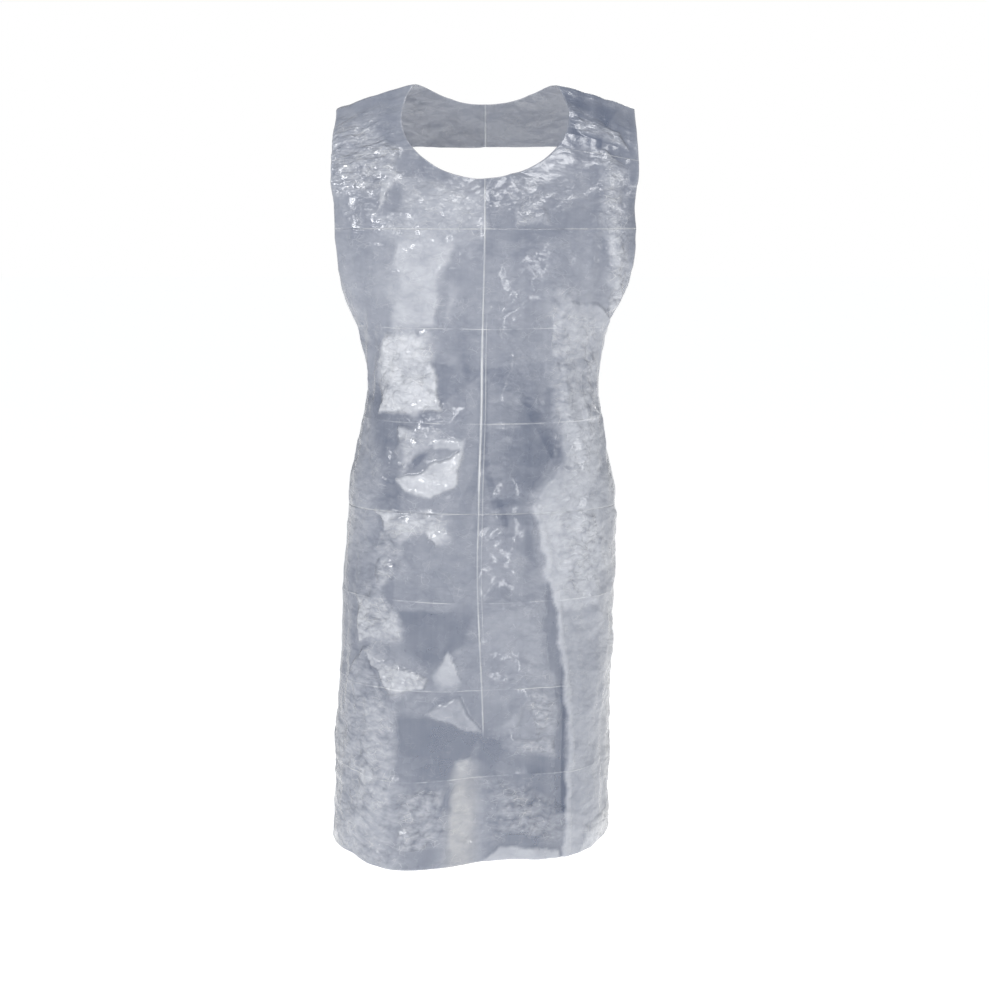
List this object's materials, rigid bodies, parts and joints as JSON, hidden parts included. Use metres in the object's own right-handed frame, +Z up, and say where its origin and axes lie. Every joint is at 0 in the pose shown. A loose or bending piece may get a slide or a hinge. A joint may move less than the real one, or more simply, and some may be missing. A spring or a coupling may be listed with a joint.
{
  "type": "butcher apron",
  "caption": "Disposable translucent film bib apron with a closed neck loop, an open back, packing creases and waist ties in a bow, hanging as worn.",
  "frame": {"origin": "centre of the neck opening, level with the neck side of the shoulder ridge", "axes": "+Z up along the apron's length, -Y the way the wearer faces, +X towards the wearer's left"},
  "size_m": [0.4033, 0.2499, 0.9949],
  "materials": {
    "film": "thin translucent white polyethylene film, semi-gloss, creased and finely crinkled",
    "tie_film": "the same film gathered into ties, so milkier and more crumpled"
  },
  "bodies": {
    "front": {"bib_panel": "film", "left_shoulder_strap": "film", "right_shoulder_strap": "film", "skirt_yoke": "film", "skirt_front": "film", "left_waist_tie": "tie_film", "right_waist_tie": "tie_film", "bow_knot": "tie_film"},
    "neck_loop": {"rear_neck_band": "film", "left_rear_strap": "film", "right_rear_strap": "film"},
    "left_flap": {"left_skirt_flap": "film"},
    "right_flap": {"right_skirt_flap": "film"},
    "left_loop": {"left_bow_loop": "tie_film"},
    "right_loop": {"right_bow_loop": "tie_film"},
    "left_tail": {"left_tie_tail": "tie_film"},
    "right_tail": {"right_tie_tail": "tie_film"}
  },
  "joints": [
    {"name": "neck_loop_lift", "type": "hinge", "parent": "front", "child": "neck_loop", "pos_m": [0, 0, 0.0032], "axis": [1, 0, 0], "range_deg": [0, 130]},
    {"name": "left_flap_open", "type": "hinge", "parent": "front", "child": "left_flap", "pos_m": [0.16869, 0.00712, -0.53615], "axis": [-0.0106, -0.0112, -0.9999], "range_deg": [0, 75], "stiffness_Nm_per_rad": 0.002, "springref_deg": -20.05},
    {"name": "right_flap_open", "type": "hinge", "parent": "front", "child": "right_flap", "pos_m": [-0.1847, 0.00712, -0.53613], "axis": [0.0551, 0.0112, 0.9984], "range_deg": [0, 75], "stiffness_Nm_per_rad": 0.002, "springref_deg": -20.05},
    {"name": "left_loop_swing", "type": "hinge", "parent": "front", "child": "left_loop", "pos_m": [-0.004, 0.10488, -0.375], "axis": [1, 0, 0], "range_deg": [0, 75]},
    {"name": "right_loop_swing", "type": "hinge", "parent": "front", "child": "right_loop", "pos_m": [-0.004, 0.10488, -0.375], "axis": [1, 0, 0], "range_deg": [0, 75]},
    {"name": "left_tail_swing", "type": "hinge", "parent": "front", "child": "left_tail", "pos_m": [-0.004, 0.10488, -0.375], "axis": [1, 0, 0], "range_deg": [0, 60]},
    {"name": "right_tail_swing", "type": "hinge", "parent": "front", "child": "right_tail", "pos_m": [-0.004, 0.10488, -0.375], "axis": [1, 0, 0], "range_deg": [0, 60]}
  ]
}
